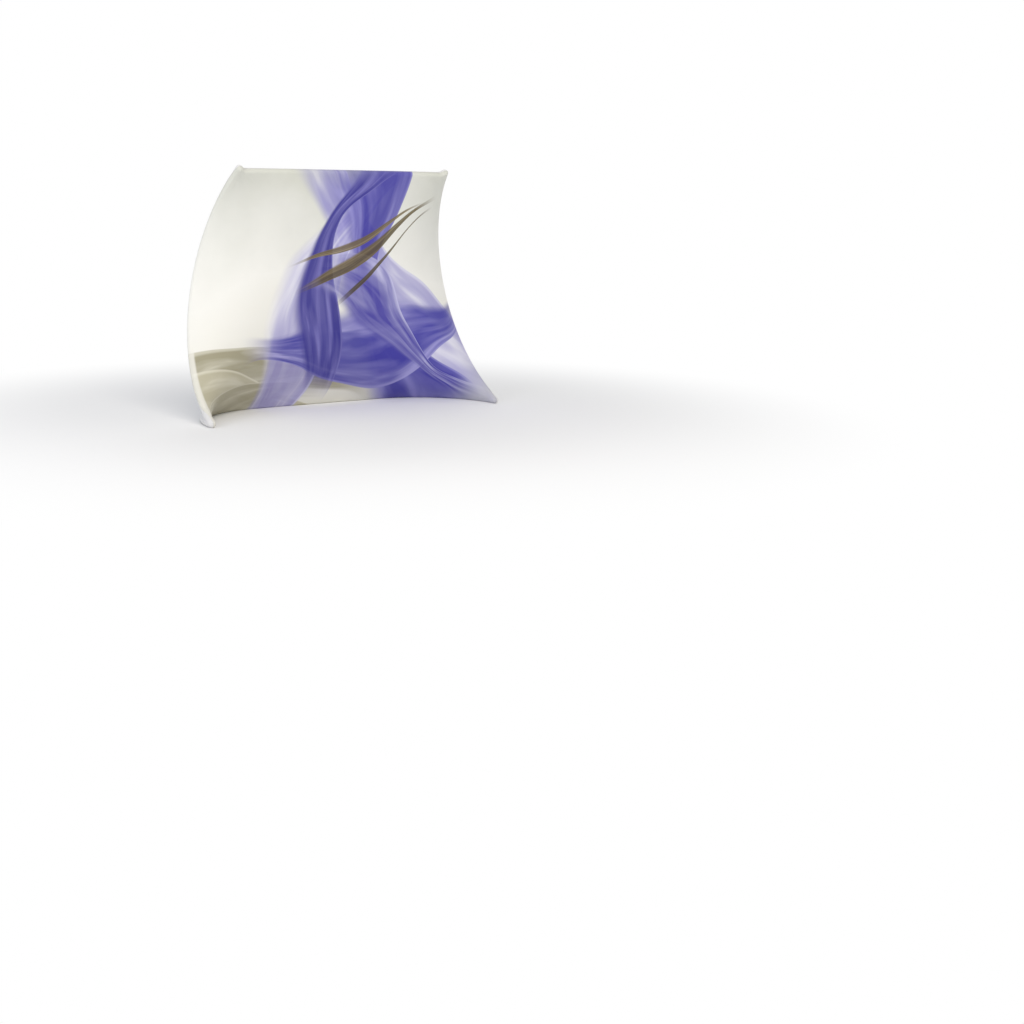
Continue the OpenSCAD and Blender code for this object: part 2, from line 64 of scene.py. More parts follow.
# A bow: its radius, its turns at the toe and at the top tube, and its length past that tube
SIDE_R, TOE_RISE, TOP_DIR, SIDE_OVER = 0.69, 28.0, 137.6, 0.018
LEAN, TURN = math.radians(12.2), math.radians(5)  # how the right bow's plane leans in and turns
NET_U, NET_V = 15, 11  # cells of the CAD's net, across and up
# The share of them on each bend of the base, and how much they crowd towards a toe, on base and bow
BEND_SHARE, BEND_GRADE, BOW_GRADE = 6 / 15, 1.15, 1.3
# How level the crossing beside a toe is, how far in a top corner's peak starts, and rounds that tauten
TOE_FLAT, PEAK, RELAX = 0.75, 0.03, 160
TOE_WEDGE = 0.11  # how far from a toe the fabric lies flat across base and bow
FINE = 6  # fine cells in each cell of the CAD's net
FINE_RELAX, LAYER_RELAX = 24, 30  # rounds that tauten the fine net, and then each layer of fabric
ZIP_TURN, ZIP_HALF = 20.0, 23.5  # the zip's place round the bow's tube, and half the slit
ZIP_LOW_ROW, ZIP_HIGH_ROW = 6, 20  # its ends, in half rows of the CAD's net

BACK_DIR = np.array([math.sin(TURN), math.cos(TURN), 0])
RISE_DIR = np.array([-math.sin(LEAN) * math.cos(TURN), math.sin(LEAN) * math.sin(TURN), math.cos(LEAN)])
OUT_DIR = np.cross(BACK_DIR, RISE_DIR)
FLIP = np.array([-1.0, 1.0, 1.0])


def unit(v):
    return v / np.maximum(np.linalg.norm(v, axis=-1, keepdims=True), 1e-12)


def ease(t):
    """Smooth step for a value between 0 and 1."""
    return t * t * (3 - 2 * t)


def runs(points):
    """Each point's distance from the first one, along a row of points or along each row of a grid."""
    steps = np.linalg.norm(np.diff(points, axis=-2), axis=-1)
    return np.concatenate([np.zeros((*steps.shape[:-1], 1)), np.cumsum(steps, axis=-1)], axis=-1)


def bow_away(turn):
    """From the right bow's centre to its tube, at a turn in degrees."""
    a = math.radians(turn)
    return math.sin(a) * BACK_DIR - math.cos(a) * RISE_DIR


TOE = np.array([HALF_STRAIGHT + BEND_R, -REAR, REST])
BOW_CENTRE = TOE - SIDE_R * bow_away(TOE_RISE)
BOW_END_DIR = TOP_DIR + math.degrees(SIDE_OVER / SIDE_R)
BOW_TURN = math.degrees(1 / SIDE_R)  # degrees of turn for each metre along a bow


def bow_point(turn):
    return BOW_CENTRE + SIDE_R * bow_away(turn)


def zip_out(turn):
    """Straight out of the right bow's tube through the zip."""
    a = math.radians(ZIP_TURN)
    return math.cos(a) * OUT_DIR + math.sin(a) * bow_away(turn)


def share_dir(share):
    return TOE_RISE + (BOW_END_DIR - TOE_RISE) * share**BOW_GRADE


TOP_CROSS, BOW_END = bow_point(TOP_DIR), bow_point(BOW_END_DIR)


def base_at(share):
    if share > 0.5:
        return base_at(1 - share) * FLIP
    if share > BEND_SHARE:
        x = -HALF_STRAIGHT + 2 * HALF_STRAIGHT * (share - BEND_SHARE) / (1 - 2 * BEND_SHARE)
        return np.array([x, REAR, REST])
    a = math.radians(90 * (share / BEND_SHARE) ** BEND_GRADE)
    return np.array([-HALF_STRAIGHT - BEND_R * math.cos(a), BEND_R * math.sin(a) - REAR, REST])


def side_at(share, right):
    return bow_point(share_dir(share)) * (1 if right else FLIP)


def top_at(share):
    x = BOW_END[0] * (2 * share - 1)
    lift = max(0.0, 1 - (BOW_END[0] - abs(x)) / PEAK) ** 2
    y, z = TOP_CROSS[1:] + (BOW_END[1:] - TOP_CROSS[1:]) * lift
    return np.array([x, y, z])


def edge_at(u, v):
    if v <= 0:
        return base_at(u)
    if v >= 1:
        return top_at(u)
    return side_at(v, u > 0.5)


# The taut net between base, bows and top tube, first as coarse as the CAD's, then made fine


def coarse_net():
    net = np.zeros((NET_V + 1, NET_U + 1, 3))
    held = np.zeros((NET_V + 1, NET_U + 1), bool)
    for j in range(NET_V + 1):
        for i in range(NET_U + 1):
            u, v = i / NET_U, j / NET_V
            if i in (0, NET_U) or j in (0, NET_V):
                net[j, i], held[j, i] = edge_at(u, v), True
                continue
            w = np.array([1 / v, 1 / (1 - v), 1 / u, 1 / (1 - u)])
            ends = np.array([base_at(u), top_at(u), side_at(v, False), side_at(v, True)])
            net[j, i] = w @ ends / w.sum()
            if j == 1 and i in (1, NET_U - 1):  # the crossing beside each toe
                toe = base_at(round(u))
                level = base_at(u) + side_at(v, u > 0.5) - toe
                net[j, i], held[j, i] = TOE_FLAT * level + (1 - TOE_FLAT) * net[j, i], True
    return tauten(net, held, RELAX)


def tauten(net, held, passes):
    for _ in range(passes):
        near = net.copy()
        near[1:-1, 1:-1] = (net[:-2, 1:-1] + net[2:, 1:-1] + net[1:-1, :-2] + net[1:-1, 2:]) / 4
        net = np.where(held[..., None], net, near)
    return net


def smooth_rows(rows, fine):
    """Catmull-Rom points between the entries of the first axis."""
    first, last = 3 * rows[0] - 3 * rows[1] + rows[2], 3 * rows[-1] - 3 * rows[-2] + rows[-3]
    p = np.concatenate([first[None], rows, last[None]])
    made = []
    for k in range(len(rows) - 1):
        a, b, c, d = p[k : k + 4]
        for step in range(fine):
            t = step / fine
            made.append(b + 0.5 * t * (c - a + t * (2 * a - 5 * b + 4 * c - d + t * (3 * (b - c) + d - a))))
    made.append(rows[-1])
    return np.array(made)


def fine_net():
    net = smooth_rows(coarse_net(), FINE)
    net = smooth_rows(net.swapaxes(0, 1), FINE).swapaxes(0, 1)
    rows, cols = net.shape[0] - 1, net.shape[1] - 1
    fade = ease(np.clip(1 - np.arange(max(rows, cols) + 1) / FINE, 0, 1))
    base = np.array([edge_at(i / cols, 0) for i in range(cols + 1)]) - net[0]
    top = np.array([edge_at(i / cols, 1) for i in range(cols + 1)]) - net[-1]
    left = np.array([edge_at(0, j / rows) for j in range(rows + 1)]) - net[:, 0]
    right = np.array([edge_at(1, j / rows) for j in range(rows + 1)]) - net[:, -1]
    net = net + fade[: rows + 1, None, None] * base + fade[rows::-1, None, None] * top
    net = net + fade[None, : cols + 1, None] * left[:, None] + fade[None, cols::-1, None] * right[:, None]
    held = np.zeros(net.shape[:2], bool)
    held[0] = held[-1] = held[:, 0] = held[:, -1] = True
    return tauten(net, held, FINE_RELAX)


NET = fine_net()
ROWS, COLS = NET.shape[0] - 1, NET.shape[1] - 1
EDGE = np.ones(NET.shape[:2], bool)
EDGE[1:-1, 1:-1] = False
NORMAL = unit(np.cross(np.gradient(NET, axis=1), np.gradient(NET, axis=0)))
# Base and bow are close together near a toe, and the fabric lies flat across both of them there
for corner in (0, COLS):
    near = np.clip(np.linalg.norm(NET - NET[0, corner], axis=2, keepdims=True) / TOE_WEDGE, 0, 1)
    NORMAL = unit(NORMAL[0, corner] + ease(near) * (NORMAL - NORMAL[0, corner]))

# The fabric's flat pattern: lengths along its rows and up its middle column
row_runs = runs(NET)
FLAT_U = row_runs - row_runs[:, -1:] / 2
FLAT_V = np.repeat(runs(NET[:, COLS // 2])[:, None], COLS + 1, axis=1)

# The wrap round the tubes: one entry for each point of the edge, and a fan of them at each corner

RING = (
    [(0, i) for i in range(COLS)]
    + [(j, COLS) for j in range(ROWS)]
    + [(ROWS, i) for i in range(COLS, 0, -1)]
    + [(j, 0) for j in range(ROWS, 0, -1)]
)
CENTRELINE = np.array([NET[j, i] for j, i in RING])
SEAM_TURN = 89.5  # degrees that each panel wraps round a tube
QUARTER = CLOTH_OUT * math.pi / 2  # length of fabric in a quarter turn round a tube
WRAP_STEPS = 8
TOE_FAN, TOP_FAN = 12, 8
PAST_HEM = 0.2  # a way in from the seam that no hem or stitch reaches


def slot_turns(row, outward, normal):
    """How far the front and the back panel wrap beside the zip, in degrees."""
    zip_dir = zip_out(share_dir(row / ROWS))
    at = math.degrees(math.atan2(zip_dir @ outward, zip_dir @ normal))
    low, high = ZIP_LOW_ROW * FINE / 2, ZIP_HIGH_ROW * FINE / 2
    share = ease(min(1.0, max(0.0, min(row - low, high - row) / (FINE / 2) + 1)))
    return (
        SEAM_TURN + (at - ZIP_HALF - SEAM_TURN) * share,
        SEAM_TURN + (180 - at - ZIP_HALF - SEAM_TURN) * share,
    )


def edge_entries():
    """The entries of the edge.

    Each is its place in RING, its point, normal and outward direction, the front and back panel's
    wrap in degrees, and the outward direction on the flat pattern.
    """
    count, made = len(RING), []
    points = CENTRELINE
    flat = np.array([(FLAT_U[j, i], FLAT_V[j, i]) for j, i in RING])
    for k, (j, i) in enumerate(RING):
        before, after = unit(points[k] - points[k - 1]), unit(points[(k + 1) % count] - points[k])
        flat_before, flat_after = unit(flat[k] - flat[k - 1]), unit(flat[(k + 1) % count] - flat[k])
        corner = (j in (0, ROWS)) and (i in (0, COLS))
        if corner:
            normal = unit(np.cross(before, after))
            first = np.cross(before, normal)
            turn = math.acos(float(np.clip(before @ after, -1, 1)))
            start = math.atan2(-flat_before[0], flat_before[1])
            swing = (math.atan2(-flat_after[0], flat_after[1]) - start) % (2 * math.pi)
            fan = TOE_FAN if j == 0 else TOP_FAN
            for s in range(fan + 1):
                a, b = turn * s / fan, start + swing * s / fan
                out = first * math.cos(a) + np.cross(normal, first) * math.sin(a)
                side = np.array([math.cos(b), math.sin(b)])
                made.append((k, points[k], normal, out, SEAM_TURN, SEAM_TURN, side))
            continue
        tangent = unit(before + after)
        normal = unit(NORMAL[j, i] - tangent * (tangent @ NORMAL[j, i]))
        out = np.cross(tangent, normal)
        front, back = slot_turns(j, out, normal) if i == COLS else (SEAM_TURN, SEAM_TURN)
        side = unit(flat_before + flat_after)
        made.append((k, points[k], normal, out, front, back, np.array([side[1], -side[0]])))
    return made


ENTRIES = edge_entries()
# Lengths along the seam, which is a whole number of stitches long
STITCH = 0.004
seam = np.array([point + CLOTH_OUT * out for _, point, _, out, *_ in ENTRIES])
SEAM_RUNS = runs(np.concatenate([seam, seam[:1]]))
SEAM_LENGTH = STITCH * round(SEAM_RUNS[-1] / STITCH)
SEAM_RUNS *= SEAM_LENGTH / SEAM_RUNS[-1]


def clear_of_tubes(points, radius):
    """Points nearer to a tube's centreline than radius, moved straight out from it."""
    steps = np.roll(CENTRELINE, -1, axis=0) - CENTRELINE
    moved, batch = points.copy(), 2000
    for k in range(0, len(points), batch):
        part = points[k : k + batch]
        to = part[:, None] - CENTRELINE[None]
        t = np.clip((to * steps).sum(2) / (steps * steps).sum(1), 0, 1)
        off = to - t[..., None] * steps
        dist = np.linalg.norm(off, axis=2)
        near = dist.argmin(1)
        pick = np.arange(len(part))
        short = dist[pick, near] < radius
        push = off[pick, near] * (radius / np.maximum(dist[pick, near], 1e-9))[:, None]
        foot = part - off[pick, near]
        moved[k : k + batch][short] = (foot + push)[short]
    return moved


def panel_skin(face, radius, lowest):
    """Points of one face of a panel: the grid, then the wrap ring by ring."""
    grid = (NET + face * radius * NORMAL).reshape(-1, 3)
    for k, point, normal, *_ in ENTRIES:
        j, i = RING[k]
        grid[j * (COLS + 1) + i] = point + face * radius * normal
    # Each layer is taut by itself, and lies on the tubes where it meets them
    grid = tauten(grid.reshape(ROWS + 1, COLS + 1, 3), EDGE, LAYER_RELAX).reshape(-1, 3)
    grid = clear_of_tubes(grid, radius)
    rings = []
    for step in range(1, WRAP_STEPS + 1):
        for _, point, normal, out, front, back, _ in ENTRIES:
            a = math.radians(front if face > 0 else back) * step / WRAP_STEPS
            rings.append(point + radius * (face * math.cos(a) * normal + math.sin(a) * out))
    points = np.concatenate([grid, rings])
    points[:, 2] = np.maximum(points[:, 2], lowest)
    return points


def skin_faces():
    """Quads and triangles of one face, turned so that the front panel's outer face looks outward."""
    wide = COLS + 1
    faces = [
        (j * wide + i, j * wide + i + 1, (j + 1) * wide + i + 1, (j + 1) * wide + i)
        for j in range(ROWS)
        for i in range(COLS)
    ]
    grid, count = (ROWS + 1) * wide, len(ENTRIES)

    def place(step, e):
        e %= count
        if step == 0:
            j, i = RING[ENTRIES[e][0]]
            return j * wide + i
        return grid + (step - 1) * count + e

    for e in range(count):
        for step in range(WRAP_STEPS):
            a, b = place(step, e), place(step, e + 1)
            c, d = place(step + 1, e + 1), place(step + 1, e)
            faces.append((d, c, b) if a == b else (d, c, b, a))
    rim = [(place(WRAP_STEPS, e), place(WRAP_STEPS, e + 1)) for e in range(count)]
    return faces, rim


def flat_places():
    """Each point's place on the flat pattern, its way in from the seam and along it, in metres."""
    uv = list(zip(FLAT_U.reshape(-1), FLAT_V.reshape(-1)))
    inset = [PAST_HEM] * len(uv)
    along = [0.0] * len(uv)
    for e, (k, *_) in enumerate(ENTRIES):
        j, i = RING[k]
        inset[j * (COLS + 1) + i] = QUARTER
        along[j * (COLS + 1) + i] = SEAM_RUNS[e]
    for step in range(1, WRAP_STEPS + 1):
        for e, (k, *_, side) in enumerate(ENTRIES):
            j, i = RING[k]
            way = QUARTER * step / WRAP_STEPS
            uv.append((FLAT_U[j, i] + side[0] * way, FLAT_V[j, i] + side[1] * way))
            inset.append(QUARTER * (1 - step / WRAP_STEPS))
            along.append(SEAM_RUNS[e])
    return np.array(uv), np.array(inset), np.array(along)


def side_places():
    """How far each point lies inside the nearer side bow, along the fabric."""
    grid = FLAT_U[:, -1:] - np.abs(FLAT_U)
    rings = [
        grid[RING[k]] - (QUARTER * step / WRAP_STEPS if RING[k][1] in (0, COLS) else 0)
        for step in range(1, WRAP_STEPS + 1)
        for k, *_ in ENTRIES
    ]
    return np.concatenate([grid.reshape(-1), rings])


# How far folds reach from a toe and from a top corner, where they start and how much farther out they
# are full
TOE_PULL, TOP_PULL, PULL_START, PULL_GROW = 0.34, 0.2, 0.025, 0.05


def corner_pull(points):
    """How strongly the nearest corner draws the fabric into folds, and the direction to it."""
    corners = np.array([base_at(0), base_at(1), BOW_END, BOW_END * FLIP])
    reach = np.array([TOE_PULL, TOE_PULL, TOP_PULL, TOP_PULL])
    to = points[:, None] - corners[None]
    dist = np.linalg.norm(to, axis=2)
    pull = np.clip(1 - dist / reach, 0, 1) ** 2 * np.clip((dist - PULL_START) / PULL_GROW, 0, 1)
    near = pull.argmax(1)
    pick = np.arange(len(points))
    way = to[pick, near]
    flatways = np.where(near < 2, way[:, 1], -way[:, 0] * np.sign(corners[near, 0]))
    return pull[pick, near], np.arctan2(way[:, 2], flatways)


def sheet_piece(name, points, faces, uv, along, inset, values):
    """A sheet's mesh, mapped as its flat pattern and by its place along the seam and in from it."""
    mesh = bpy.data.meshes.new(name)
    mesh.from_pydata(points.tolist(), [], faces)
    corner = np.zeros(len(mesh.loops), np.int32)
    mesh.loops.foreach_get("vertex_index", corner)
    face = np.repeat(np.arange(len(mesh.polygons)), [len(f) for f in faces])
    # Where a seam that runs right round comes back to its start, its length goes on across the last face
    run, most = along[corner], np.full(len(mesh.polygons), -np.inf)
    np.maximum.at(most, face, run)
    run = run + np.where(most[face] - run > along.max() / 2, SEAM_LENGTH, 0)
    for key, places in (("flat_pattern", uv[corner]), ("seam", np.stack([run, inset[corner]], axis=1))):
        mesh.uv_layers.new(name=key).data.foreach_set("uv", places.astype(np.float32).reshape(-1))
    for key, numbers in values.items():
        mesh.attributes.new(key, "FLOAT", "POINT").data.foreach_set("value", np.asarray(numbers, np.float32))
    mesh.validate()
    piece = bpy.data.objects.new(name, mesh)
    bpy.context.scene.collection.objects.link(piece)
    mesh.shade_smooth()
    return piece


def strip_piece(name, outer, inner, uv, along, inset):
    """A closed sheet between two grids of points of the same shape."""
    tall, wide = outer.shape[:2]
    size = tall * wide
    ids = np.arange(size).reshape(tall, wide)
    quads = np.stack([ids[:-1, :-1], ids[:-1, 1:], ids[1:, 1:], ids[1:, :-1]], axis=-1).reshape(-1, 4)
    rim = np.concatenate([ids[0, :-1], ids[:-1, -1], ids[-1, :0:-1], ids[:0:-1, 0]])
    after = np.roll(rim, -1)
    sides = np.stack([after, rim, rim + size, after + size], axis=1)
    faces = np.concatenate([quads, quads[:, ::-1] + size, sides])
    points = np.concatenate([outer.reshape(-1, 3), inner.reshape(-1, 3)])
    a, b, _, d = points[quads[0]]
    normal = np.cross(b - a, d - a)
    if normal @ (points[0] - points[size]) < 0:
        faces = faces[:, ::-1]
    along, inset = np.tile(along.reshape(-1), 2), np.tile(inset.reshape(-1), 2)
    calm = {"pull": along * 0, "pull_way": along * 0}
    return sheet_piece(name, points, faces.tolist(), np.tile(uv.reshape(-1, 2), (2, 1)), along, inset, calm)


def panel(name, face):
    """The front panel, for face 1, or the back one, for face -1."""
    outer = panel_skin(face, CLOTH_OUT, 0.0)
    inner = panel_skin(face, CLOTH_IN, FOOT_THICK)
    faces, rim = skin_faces()
    size = len(outer)
    out = [f if face > 0 else f[::-1] for f in faces]
    out += [tuple(p + size for p in (f[::-1] if face > 0 else f)) for f in faces]
    for a, b in rim:
        quad = (a, a + size, b + size, b)
        out.append(quad if face > 0 else quad[::-1])
    uv, inset, along = flat_places()
    pull, way = corner_pull(np.concatenate([outer, inner]))
    values = {"side_in": np.tile(side_places(), 2), "pull": pull, "pull_way": way}
    uv, along, inset = np.tile(uv, (2, 1)), np.tile(along, 2), np.tile(inset, 2)
    return sheet_piece(name, np.concatenate([outer, inner]), out, uv, along, inset, values)


# Colours and nodes


def colour(code):
    """sRGB hex to a linear colour with full alpha."""
    made = []
    for k in (0, 2, 4):
        c = int(code[k : k + 2], 16) / 255
        made.append(c / 12.92 if c <= 0.04045 else ((c + 0.055) / 1.055) ** 2.4)
    return (*made, 1.0)


def add(tree, kind, feeds=(), stops=(), **settings):
    """The first output of a new node with these settings.

    Feeds are values or sockets, in the order of the node's inputs or by their names. Stops are a
    ramp's places and colours.
    """
    node = tree.nodes.new(kind if kind.startswith("NodeGroup") else "ShaderNode" + kind)
    for key, value in settings.items():
        setattr(node, key, value)
    live = [socket for socket in node.inputs if socket.enabled]
    named = {socket.name: socket for socket in live}
    for key, value in feeds.items() if isinstance(feeds, dict) else enumerate(feeds):
        socket = named[key] if isinstance(key, str) else live[key]
        if isinstance(value, bpy.types.NodeSocket):
            tree.links.new(value, socket)
        else:
            socket.default_value = value
    for k, (place, code) in enumerate(stops):
        stop = node.color_ramp.elements[k] if k < 2 else node.color_ramp.elements.new(place)
        stop.position, stop.color = place, colour(code)
    return next((socket for socket in node.outputs if socket.enabled), None)


def new_material(name, **values):
    """A material whose shader has these values, by its inputs' names with _ for a space."""
    material = bpy.data.materials.new(name)
    material.use_nodes = True
    tree = material.node_tree
    shader = tree.nodes["Principled BSDF"]
    for key, value in values.items():
        shader.inputs[key.replace("_", " ")].default_value = value
    return material, tree, shader


# Fabric

# Warp-knit polyester has loops about 0.8 mm wide; drawn twice as wide, so that a close view shows them
WALE, COURSE, KNIT_DEPTH = 0.0016, 0.0014, 0.00003
SPECKLE = 1.5 * WALE  # the dye's speckles
# The turned hem is 11.5 mm wide, with two rows of stitches, 4 and 9 mm in from the seam
HEM, HEM_SOFT, HEM_DEPTH = 0.0115, 0.001, 0.00035
STITCH_ROWS, STITCH_DEPTH = (0.004, 0.009), 0.0003
THREAD_CORE, THREAD_EDGE = 0.0002, 0.0009  # half a thread's width, where it is highest and where it ends
FOLD_DEPTH, FOLDS_PER_TURN = 0.006, 5.5


def knit_bump(tree, flat):
    """Knit loops, the hem's stitches and the folds that the corners draw, as one height in metres."""
    split = add(tree, "SeparateXYZ", (flat,)).node.outputs
    waves = []
    for axis, pitch in (("X", WALE), ("Y", COURSE)):
        turn = add(tree, "Math", (split[axis], 2 * math.pi / pitch), operation="MULTIPLY")
        waves.append(add(tree, "Math", (turn,), operation="SINE"))
    knit = add(tree, "Math", waves, operation="ADD")
    height = add(tree, "Math", (knit, KNIT_DEPTH), operation="MULTIPLY")
    seam = add(tree, "UVMap", uv_map="seam")
    seam = add(tree, "SeparateXYZ", (seam,)).node.outputs
    thread = add(tree, "Math", (seam["X"], 2 * math.pi / STITCH), operation="MULTIPLY")
    thread = add(tree, "Math", (thread,), operation="SINE")
    dash = add(tree, "MapRange", (thread, -0.3, 0.1), interpolation_type="SMOOTHSTEP")
    rows = []
    for place in STITCH_ROWS:
        off = add(tree, "Math", (seam["Y"], place), operation="SUBTRACT")
        off = add(tree, "Math", (off,), operation="ABSOLUTE")
        rows.append(add(tree, "MapRange", (off, THREAD_EDGE, THREAD_CORE), interpolation_type="SMOOTHSTEP"))
    stitch = add(tree, "Math", (add(tree, "Math", rows, operation="MAXIMUM"), dash), operation="MULTIPLY")
    hem = (seam["Y"], HEM + HEM_SOFT, HEM - HEM_SOFT, 0, HEM_DEPTH)
    hem = add(tree, "MapRange", hem, interpolation_type="SMOOTHSTEP")
    height = add(tree, "Math", (height, hem), operation="ADD")
    height = add(tree, "Math", (stitch, -STITCH_DEPTH, height), operation="MULTIPLY_ADD")
    # Folds fan out from each corner, because the fabric is pulled hardest there
    pull = add(tree, "Attribute", attribute_name="pull").node.outputs["Fac"]
    way = add(tree, "Attribute", attribute_name="pull_way").node.outputs["Fac"]
    way = add(tree, "Math", (way, FOLDS_PER_TURN), operation="MULTIPLY")
    rays = {"W": way, "Scale": 1.0, "Detail": 2.0, "Roughness": 0.4}
    rays = add(tree, "TexNoise", rays, noise_dimensions="1D")
    rays = add(tree, "Math", (rays, pull), operation="MULTIPLY")
    return add(tree, "Math", (rays, FOLD_DEPTH, height), operation="MULTIPLY_ADD"), stitch


SILK_DRIFT, SILK_SWELL = 0.16, 0.38  # how far a strip strays from its wave, and how much its width changes


def silk_group():
    """A strip of dyed silk on the print: x runs along it and y across it, in metres, from its middle."""
    group = bpy.data.node_groups.new("silk_strip", "ShaderNodeTree")
    group.interface.new_socket("Place", in_out="INPUT", socket_type="NodeSocketVector")
    for key in ("Sway", "Waves", "Start", "Half width", "Reach"):
        group.interface.new_socket(key, in_out="INPUT", socket_type="NodeSocketFloat")
    for key in ("Cover", "Shade", "Hem"):
        group.interface.new_socket(key, in_out="OUTPUT", socket_type="NodeSocketFloat")
    given = add(group, "NodeGroupInput").node.outputs
    drift = {"Vector": given["Place"], "Scale": 1.7, "Detail": 1.0}
    drift = add(group, "TexNoise", drift, noise_dimensions="2D").node.outputs["Color"]
    drift = add(group, "VectorMath", (drift, (0.5, 0.5, 0.5)), operation="SUBTRACT")
    drift = (drift, (SILK_DRIFT, SILK_DRIFT, 0), given["Place"])
    bent = add(group, "VectorMath", drift, operation="MULTIPLY_ADD")
    split = add(group, "SeparateXYZ", (bent,)).node.outputs
    phase = add(group, "Math", (split["X"], given["Waves"], given["Start"]), operation="MULTIPLY_ADD")
    middle = add(group, "Math", (phase,), operation="SINE")
    middle = add(group, "Math", (middle, given["Sway"]), operation="MULTIPLY")
    # The strip turns as it flows, so its seen width swells and narrows
    swell = add(group, "Math", (phase, 1.35), operation="MULTIPLY")
    swell = add(group, "Math", (swell,), operation="COSINE")
    swell = add(group, "Math", (swell, SILK_SWELL, 1 - SILK_SWELL), operation="MULTIPLY_ADD")
    half = add(group, "Math", (swell, given["Half width"]), operation="MULTIPLY")
    across = add(group, "Math", (split["Y"], middle), operation="SUBTRACT")
    across = add(group, "Math", (across, half), operation="DIVIDE")
    sharp = add(group, "MapRange", (across, -1.0, -0.97), interpolation_type="SMOOTHSTEP")
    soft = add(group, "MapRange", (across, 1.0, 0.55), interpolation_type="SMOOTHSTEP")
    away = add(group, "Math", (split["X"],), operation="ABSOLUTE")
    full = add(group, "Math", (given["Reach"], 0.62), operation="MULTIPLY")
    ends = add(group, "MapRange", (away, given["Reach"], full), interpolation_type="SMOOTHSTEP")
    cover = add(group, "Math", (sharp, soft), operation="MULTIPLY")
    cover = add(group, "Math", (cover, ends), operation="MULTIPLY")
    along = add(group, "Math", (split["X"], 1.1), operation="MULTIPLY")
    folds = add(group, "CombineXYZ", (along, across, given["Start"]))
    folds = {"Vector": folds, "Scale": 2.1, "Detail": 3.0, "Roughness": 0.45, "Distortion": 0.5}
    folds = add(group, "TexNoise", folds)
    hem = add(group, "MapRange", (across, -0.9, -0.96), interpolation_type="SMOOTHSTEP")
    hem = add(group, "Math", (hem, cover), operation="MULTIPLY")
    add(group, "NodeGroupOutput", {"Cover": cover, "Shade": folds, "Hem": hem})
    return group


# Each strip's middle, turn in degrees, sway, wave's radians per metre, start of the wave, half width,
# reach, deep and light colour, and strength
SILK_STRIPS = (
    ((-0.72, 0.17), 172, 0.05, 2.6, -0.3, 0.27, 1.1, "A29C82", "EEEBDC", 0.96),
    ((-0.62, 0.09), 160, 0.04, 3.1, -0.5, 0.2, 0.85, "BDB79D", "ECE9DA", 0.85),
    ((-0.8, 0.03), 178, 0.05, 3.4, 0.2, 0.15, 0.8, "A39D84", "E2DECB", 0.8),
    ((0.42, 0.5), 128, 0.1, 2.3, 0.9, 0.4, 1.1, "8D88CC", "F3F2FC", 0.8),
    ((-0.12, 0.5), 58, 0.1, 3.1, 0.4, 0.22, 0.95, "9893D2", "F0EFFB", 0.75),
    ((0.3, 0.56), 118, 0.11, 3.4, 2.2, 0.26, 0.85, "413CA0", "A6A2DE", 0.95),
    ((0.2, 0.4), 12, 0.12, 3.8, 4.6, 0.25, 0.72, "433FA3", "B5B1E4", 0.95),
    ((-0.02, 0.66), 76, 0.09, 4.4, 1.1, 0.16, 0.62, "3B378F", "9590D2", 0.96),
    ((0.42, 0.34), 152, 0.08, 4.1, 3.3, 0.15, 0.66, "4F49A4", "D6D4F2", 0.88),
    ((0.16, 0.8), 28, 0.06, 5.2, 5.3, 0.035, 0.45, "574B2B", "A08F62", 0.92),
    ((0.1, 0.84), 22, 0.05, 6.1, 4.9, 0.02, 0.4, "6B5C38", "B5A67B", 0.9),
    ((0.26, 0.74), 36, 0.05, 5.6, 5.9, 0.014, 0.36, "4D4226", "8E7E52", 0.9),
)


